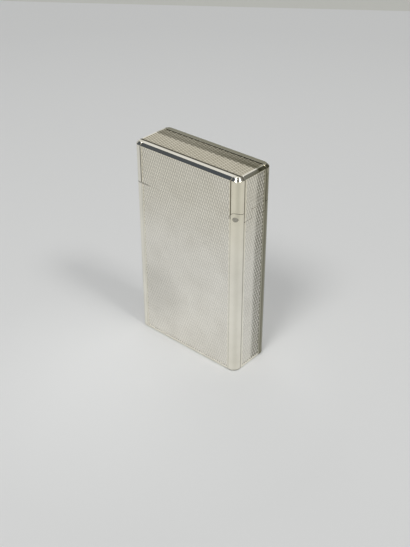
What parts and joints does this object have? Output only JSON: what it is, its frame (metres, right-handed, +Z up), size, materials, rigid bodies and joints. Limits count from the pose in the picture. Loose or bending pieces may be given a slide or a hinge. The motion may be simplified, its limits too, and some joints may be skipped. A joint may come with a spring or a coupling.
{
  "type": "cigarette lighter",
  "caption": "Slim gas pocket lighter with a hinged cap, engine-turned diamond faces and plain corner columns; opens to a wind-guarded burner, striker roller and valve lever.",
  "frame": {"origin": "middle of the base, on the surface that the lighter stands on", "axes": "+Z up along the height, +X to the hinge side along the width, -Y the front face, +Y the back"},
  "size_m": [0.0344, 0.013, 0.057],
  "materials": {
    "silver_plate": "silver plate, engine-turned fields between polished columns",
    "nickel_plate": "satin nickel plate",
    "brass": "turned brass",
    "steel": "brushed steel",
    "hardened_steel": "dark file-cut steel",
    "flint_alloy": "matt dark alloy",
    "rubber": "black rubber"
  },
  "bodies": {
    "case": {"body_case": "silver_plate", "base_plate": "nickel_plate", "fuel_tank": "brass", "filler_valve": "brass", "flint_tube": "brass", "flint_spring": "steel", "top_deck": "nickel_plate", "burner_valve": "brass", "valve_seal": "rubber", "jet_spring": "steel", "wind_guard": "nickel_plate", "lever_bracket": "nickel_plate", "bracket_screw_front": "steel", "bracket_screw_rear": "steel", "lever_pin": "steel", "lever_spring": "steel", "roller_yoke": "nickel_plate", "yoke_screw_front": "steel", "yoke_screw_rear": "steel", "hinge_pin": "steel", "snap_leaf": "steel", "leaf_rivet": "brass"},
    "cap": {"cap_shell": "silver_plate", "cap_liner": "nickel_plate", "cap_presser": "steel"},
    "striker": {"roller_axle": "steel", "thumb_roller_front": "steel", "thumb_roller_rear": "steel", "flint_wheel": "hardened_steel"},
    "lever": {"valve_lever": "steel"},
    "jet": {"burner_jet": "brass"},
    "adjuster": {"flame_adjuster": "brass"},
    "flint_column": {"flint": "flint_alloy", "flint_follower": "brass"},
    "filler_seal": {"filler_gasket": "rubber"},
    "filler": {"filler_screw": "brass"},
    "flint_seal": {"flint_washer": "rubber"},
    "flint_plug": {"flint_screw": "brass"}
  },
  "joints": [
    {"name": "cap_hinge", "type": "hinge", "parent": "case", "child": "cap", "pos_m": [0.01615, 0, 0.0462], "axis": [0, 1, 0], "range_deg": [0, 100]},
    {"name": "roller_spin", "type": "hinge", "parent": "case", "child": "striker", "pos_m": [-0.0126, 0, 0.0496], "axis": [0, 1, 0], "continuous": true},
    {"name": "valve_lever_pivot", "type": "hinge", "parent": "case", "child": "lever", "pos_m": [0.0098, 0, 0.048], "axis": [0, 1, 0], "range_deg": [0, 2.25], "deforming": ["lever_spring"]},
    {"name": "jet_lift", "type": "slide", "parent": "case", "child": "jet", "axis": [0, 0, 1], "range_m": [0, 0.0005], "deforming": ["jet_spring"]},
    {"name": "flame_adjuster_turn", "type": "hinge", "parent": "case", "child": "adjuster", "pos_m": [-0.0035, 0, 0.0462], "axis": [0, 0, 1], "range_deg": [-150, 150]},
    {"name": "flint_feed", "type": "slide", "parent": "case", "child": "flint_column", "axis": [0, 0, 1], "range_m": [-0.002, 0.0002], "stiffness_N_per_m": 300, "deforming": ["flint_spring"]},
    {"name": "filler_screw_travel", "type": "slide", "parent": "case", "child": "filler_seal", "axis": [0, 0, -1], "range_m": [0, 0.00201]},
    {"name": "filler_screw_turn", "type": "hinge", "parent": "filler_seal", "child": "filler", "pos_m": [0.005, 0, 0.001], "axis": [0, 0, -1], "range_deg": [0, 1440]},
    {"name": "flint_screw_travel", "type": "slide", "parent": "case", "child": "flint_seal", "axis": [0, 0, -1], "range_m": [0, 0.00201]},
    {"name": "flint_screw_turn", "type": "hinge", "parent": "flint_seal", "child": "flint_plug", "pos_m": [-0.0126, 0, 0.001], "axis": [0, 0, -1], "range_deg": [0, 1440]}
  ],
  "couplings": [
    {"joint": "valve_lever_pivot", "follows": "cap_hinge", "ratio": 0.022},
    {"joint": "jet_lift", "follows": "cap_hinge", "m_per_rad": 0.000285},
    {"joint": "filler_screw_travel", "follows": "filler_screw_turn", "m_per_rad": 0.000079577},
    {"joint": "flint_screw_travel", "follows": "flint_screw_turn", "m_per_rad": 0.000079577}
  ]
}
